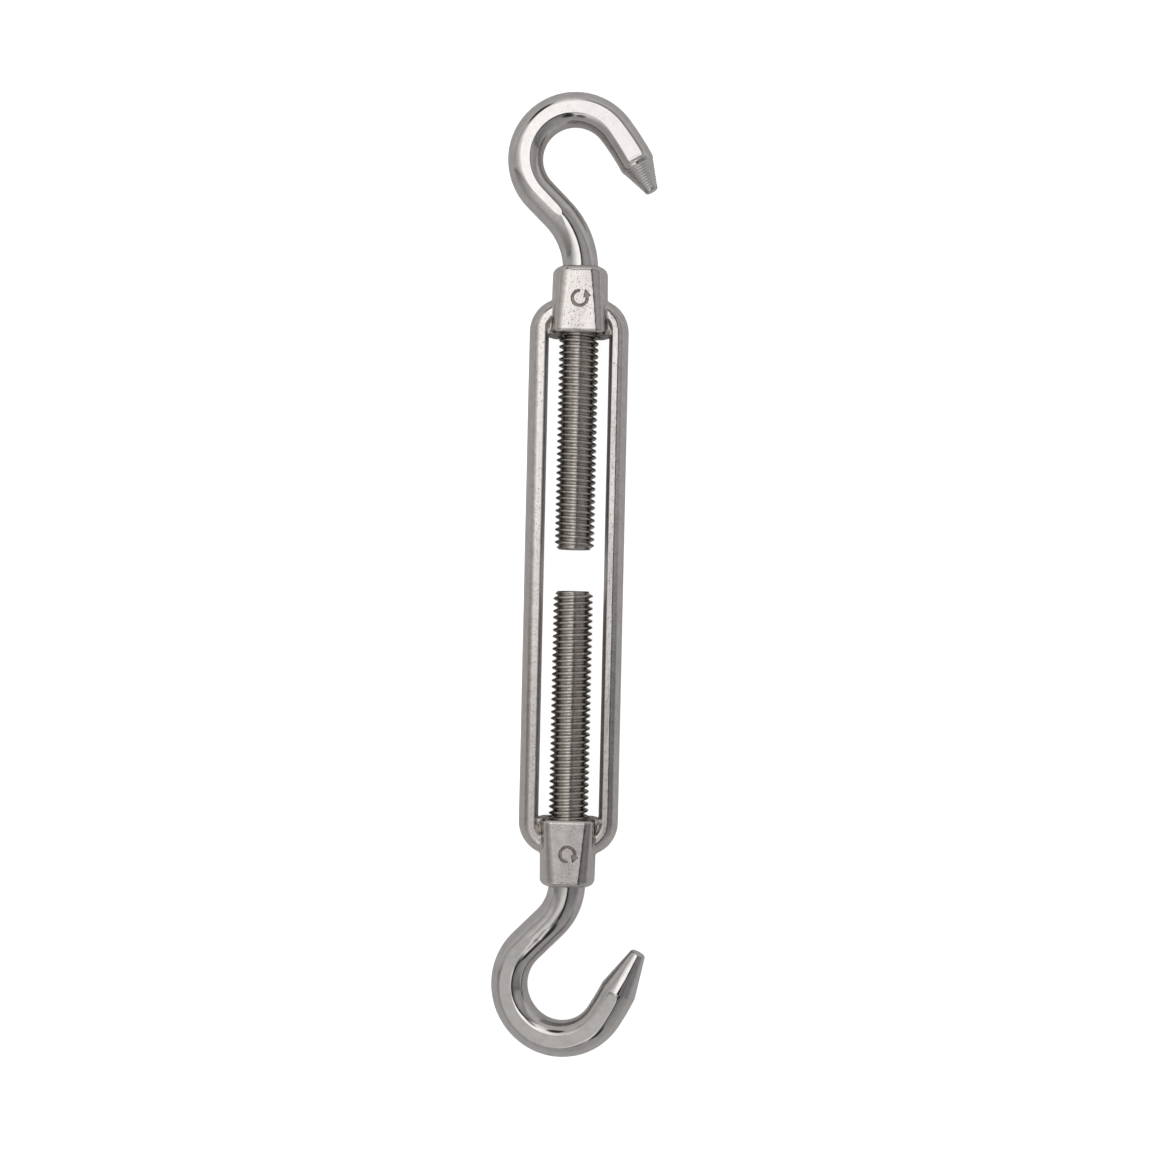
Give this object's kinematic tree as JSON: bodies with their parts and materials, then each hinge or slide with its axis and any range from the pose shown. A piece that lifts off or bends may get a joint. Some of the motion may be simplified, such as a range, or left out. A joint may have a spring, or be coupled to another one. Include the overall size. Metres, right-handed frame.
{
  "type": "rigging turnbuckle",
  "caption": "Open-body turnbuckle: a cast frame with opposite-hand tapped bosses and a threaded hook in each end, which draw together or apart as the frame is turned.",
  "frame": {"origin": "middle of the frame, on the thread axis", "axes": "+Y along the thread axis towards the left-hand hook, +Z square to the frame's open face, out of the marked boss faces, +X across the frame towards the hook tips"},
  "size_m": [0.0306, 0.1915, 0.0126],
  "materials": {
    "cast_stainless": "investment cast and tumble polished",
    "hook_stainless": "polished bar with rolled thread"
  },
  "bodies": {
    "frame": {"frame": "cast_stainless"},
    "upper_carrier": {"upper_shank_core": "hook_stainless"},
    "upper_hook": {"upper_hook": "hook_stainless"},
    "lower_carrier": {"lower_shank_core": "hook_stainless"},
    "lower_hook": {"lower_hook": "hook_stainless"}
  },
  "joints": [
    {"name": "upper_hook_travel", "type": "slide", "parent": "frame", "child": "upper_carrier", "axis": [0, 1, 0], "range_m": [0, 0.04001]},
    {"name": "upper_hook_turn", "type": "hinge", "parent": "upper_carrier", "child": "upper_hook", "pos_m": [0, 0.054, 0], "axis": [0, -1, 0], "range_deg": [0, 11520]},
    {"name": "lower_hook_travel", "type": "slide", "parent": "frame", "child": "lower_carrier", "axis": [0, -1, 0], "range_m": [0, 0.04001]},
    {"name": "lower_hook_turn", "type": "hinge", "parent": "lower_carrier", "child": "lower_hook", "pos_m": [0, -0.054, 0], "axis": [0, -1, 0], "range_deg": [0, 11520]}
  ],
  "couplings": [
    {"joint": "upper_hook_travel", "follows": "upper_hook_turn", "m_per_rad": 0.00019894},
    {"joint": "lower_hook_travel", "follows": "lower_hook_turn", "m_per_rad": 0.00019894}
  ]
}
